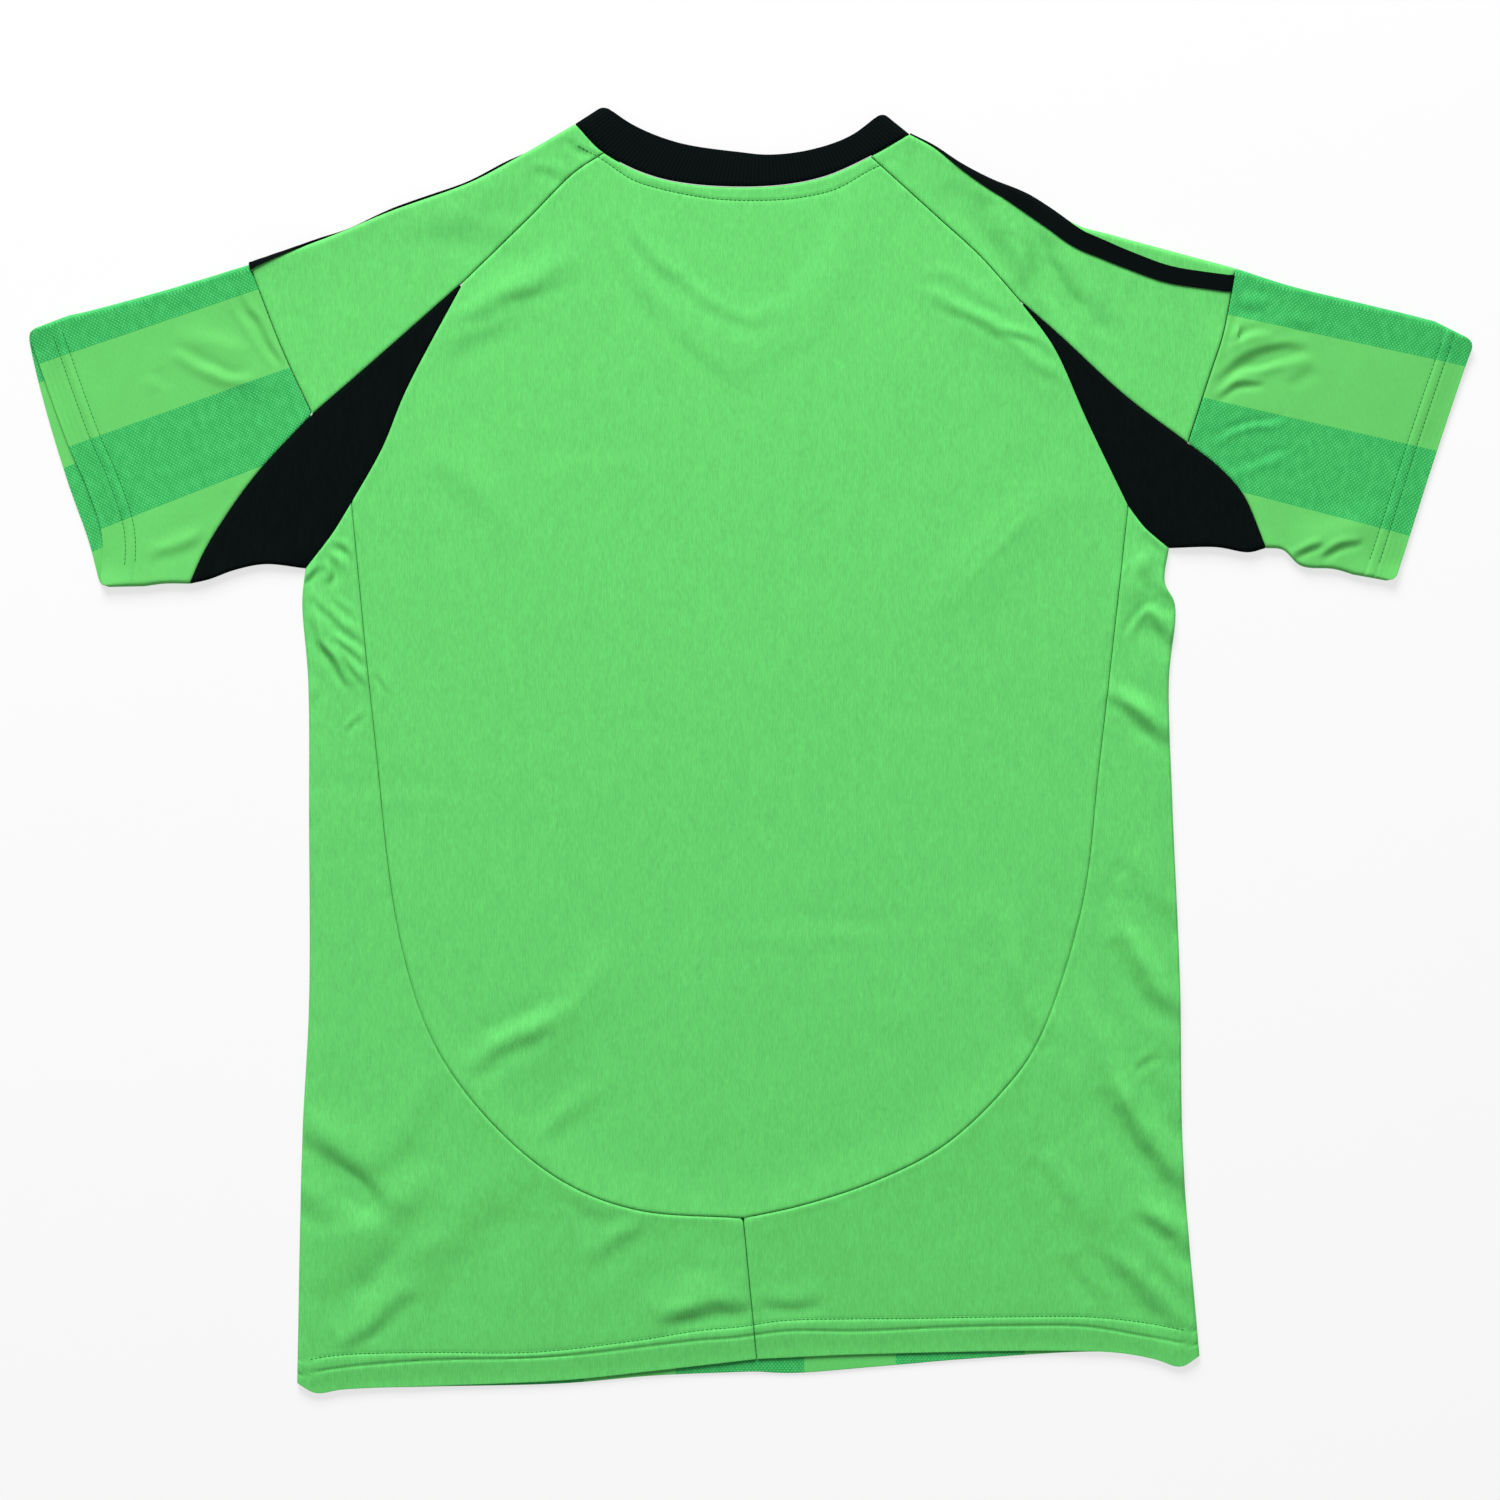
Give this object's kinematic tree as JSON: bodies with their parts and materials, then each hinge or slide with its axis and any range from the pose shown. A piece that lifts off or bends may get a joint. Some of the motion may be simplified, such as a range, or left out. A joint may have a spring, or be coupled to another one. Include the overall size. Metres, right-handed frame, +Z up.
{
  "type": "football jersey",
  "caption": "Short-sleeved V-neck football jersey laid flat with its back up, with raglan shoulders, black underarm gussets, collar band and shoulder tapes.",
  "frame": {"origin": "on the surface that the jersey lies on, under the middle of its outline", "axes": "+X runs from sleeve tip to sleeve tip, from the wearer's left to right, +Y from the hem to the collar, +Z up, out of the back"},
  "size_m": [0.8532, 0.7592, 0.0068],
  "materials": {
    "body_cloth": "bright green polyester knit with fine ribs and a silky sheen",
    "sleeve_cloth": "two-tone green striped polyester knit, the darker stripes an open mesh",
    "collar_rib": "matt black rib knit",
    "gusset_cloth": "matt black polyester knit",
    "tape_weave": "matt black woven tape"
  },
  "bodies": {
    "root": {"front_panel": "body_cloth", "back_panel": "body_cloth", "collar": "collar_rib", "lower_back_left": "body_cloth", "shoulder_left": "body_cloth", "sleeve_left": "sleeve_cloth", "gusset_left": "gusset_cloth", "tape_left": "tape_weave", "lower_back_right": "body_cloth", "shoulder_right": "body_cloth", "sleeve_right": "sleeve_cloth", "gusset_right": "gusset_cloth", "tape_right": "tape_weave"}
  },
  "joints": []
}
